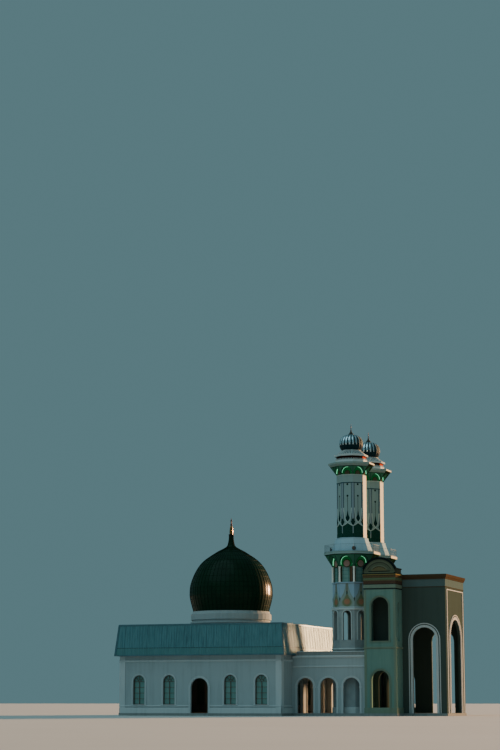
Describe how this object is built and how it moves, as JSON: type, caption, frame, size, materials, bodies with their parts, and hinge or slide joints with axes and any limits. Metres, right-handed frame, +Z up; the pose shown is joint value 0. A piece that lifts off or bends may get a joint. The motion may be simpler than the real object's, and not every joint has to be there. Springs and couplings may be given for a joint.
{
  "type": "mosque building",
  "caption": "Mosque with a square hall under a bulbous dome, octagonal minarets with galleries and small ribbed domes, and a tall entrance block with side porches.",
  "frame": {"origin": "on the ground under the axis of the main dome", "axes": "+X to the entrance front, +Z up; the building is the same on both sides of the plane y = 0, but for the roofs of the side porches"},
  "size_m": [39.45, 21.6, 34.8],
  "materials": {
    "wall_render": "painted render, matt",
    "paving_stone": "smooth concrete",
    "roof_screed": "rough screed",
    "blue_roof_sheet": "ribbed sheet, satin",
    "green_dome_sheet": "seamed sheet, gloss",
    "pale_dome_sheet": "ribbed sheet, satin",
    "finial_brass": "polished",
    "window_glass": "clear tinted",
    "brown_moulding": "painted moulding, matt",
    "railing_metal": "painted"
  },
  "bodies": {
    "root": {"floor_slab": "paving_stone", "south_hall_wall": "wall_render", "north_hall_wall": "wall_render", "west_hall_wall": "wall_render", "east_hall_wall": "wall_render", "south_hall_glass": "window_glass", "north_hall_glass": "window_glass", "west_hall_glass": "window_glass", "hall_roof_deck": "roof_screed", "south_roof_band": "blue_roof_sheet", "east_roof_band": "blue_roof_sheet", "north_roof_band": "blue_roof_sheet", "west_roof_band": "blue_roof_sheet", "eave_soffit": "blue_roof_sheet", "dome_piers": "wall_render", "dome_drum": "wall_render", "main_dome_lower": "green_dome_sheet", "main_dome_middle": "green_dome_sheet", "main_dome_top": "green_dome_sheet", "dome_finial": "finial_brass", "south_vestibule_wall": "wall_render", "north_vestibule_wall": "wall_render", "vestibule_roof": "roof_screed", "south_block_wall": "wall_render", "north_block_wall": "wall_render", "front_block_wall": "wall_render", "back_block_wall": "wall_render", "block_roof": "brown_moulding", "south_porch_walls": "wall_render", "north_porch_walls": "wall_render", "south_porch_roof": "brown_moulding", "north_porch_roof": "brown_moulding", "south_minaret_foot": "wall_render", "south_minaret_base": "wall_render", "north_minaret_foot": "wall_render", "north_minaret_base": "wall_render", "south_window_stage": "wall_render", "north_window_stage": "wall_render", "south_window_glass": "window_glass", "north_window_glass": "window_glass", "south_lower_gallery": "wall_render", "north_lower_gallery": "wall_render", "south_lower_railing": "railing_metal", "north_lower_railing": "railing_metal", "south_minaret_skirt": "wall_render", "south_minaret_shaft": "wall_render", "north_minaret_skirt": "wall_render", "north_minaret_shaft": "wall_render", "south_upper_gallery": "wall_render", "north_upper_gallery": "wall_render", "south_minaret_tier": "wall_render", "north_minaret_tier": "wall_render", "south_minaret_dome": "pale_dome_sheet", "north_minaret_dome": "pale_dome_sheet"}
  },
  "joints": []
}
